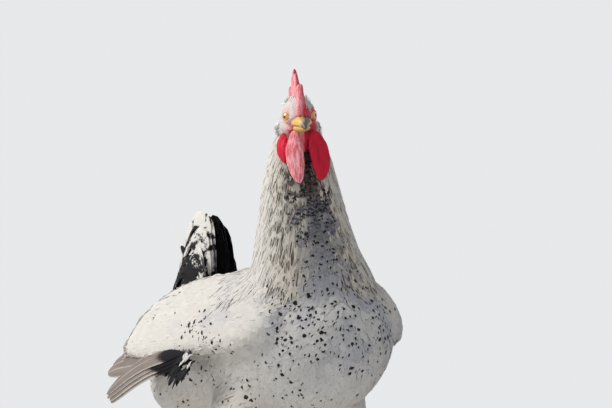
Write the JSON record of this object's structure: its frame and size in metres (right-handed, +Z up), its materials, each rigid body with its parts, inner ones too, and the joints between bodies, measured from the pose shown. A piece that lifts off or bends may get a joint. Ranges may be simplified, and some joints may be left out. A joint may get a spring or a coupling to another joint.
{
  "type": "cockerel",
  "caption": "Life-size still model of a standing cockerel with a single comb, long hackle, folded wings and a short arched tail.",
  "frame": {"origin": "on the floor under the middle of the bird's bounding box", "axes": "+Z up, the bird faces -Y, its left side is +X"},
  "size_m": [0.247, 0.3792, 0.5372],
  "materials": {
    "plumage": "soft matte feathers, white with black flecks",
    "hackle": "silky pointed feathers, cream with dark streaks",
    "flight": "smooth stiff feathers with pale shafts",
    "tail": "glossy dark feathers edged with white",
    "red_skin": "waxy, finely pimpled flesh",
    "beak": "worn horn, darker along the ridge",
    "eye": "wet, clear",
    "scaled_skin": "dry overlapping scales",
    "claw": "worn horn"
  },
  "bodies": {
    "root": {"head": "plumage", "bill_upper": "beak", "bill_lower": "beak", "comb": "red_skin", "eye_left": "eye", "wattle_left": "red_skin", "earlobe_left": "red_skin", "eye_right": "eye", "wattle_right": "red_skin", "earlobe_right": "red_skin", "trunk": "plumage", "neck": "hackle", "wing_left": "plumage", "secondaries_left": "flight", "primaries_left": "flight", "thigh_left": "plumage", "shank_left": "scaled_skin", "foot_left": "scaled_skin", "spur_left": "claw", "toe_inner_left": "scaled_skin", "claw_inner_left": "claw", "toe_middle_left": "scaled_skin", "claw_middle_left": "claw", "toe_outer_left": "scaled_skin", "claw_outer_left": "claw", "toe_hind_left": "scaled_skin", "claw_hind_left": "claw", "wing_right": "plumage", "secondaries_right": "flight", "primaries_right": "flight", "thigh_right": "plumage", "shank_right": "scaled_skin", "foot_right": "scaled_skin", "spur_right": "claw", "toe_inner_right": "scaled_skin", "claw_inner_right": "claw", "toe_middle_right": "scaled_skin", "claw_middle_right": "claw", "toe_outer_right": "scaled_skin", "claw_outer_right": "claw", "toe_hind_right": "scaled_skin", "claw_hind_right": "claw", "tail_sickle_left": "tail", "tail_coverts_left": "tail", "tail_sickle_right": "tail", "tail_coverts_right": "tail", "tail_fan": "tail"}
  },
  "joints": []
}
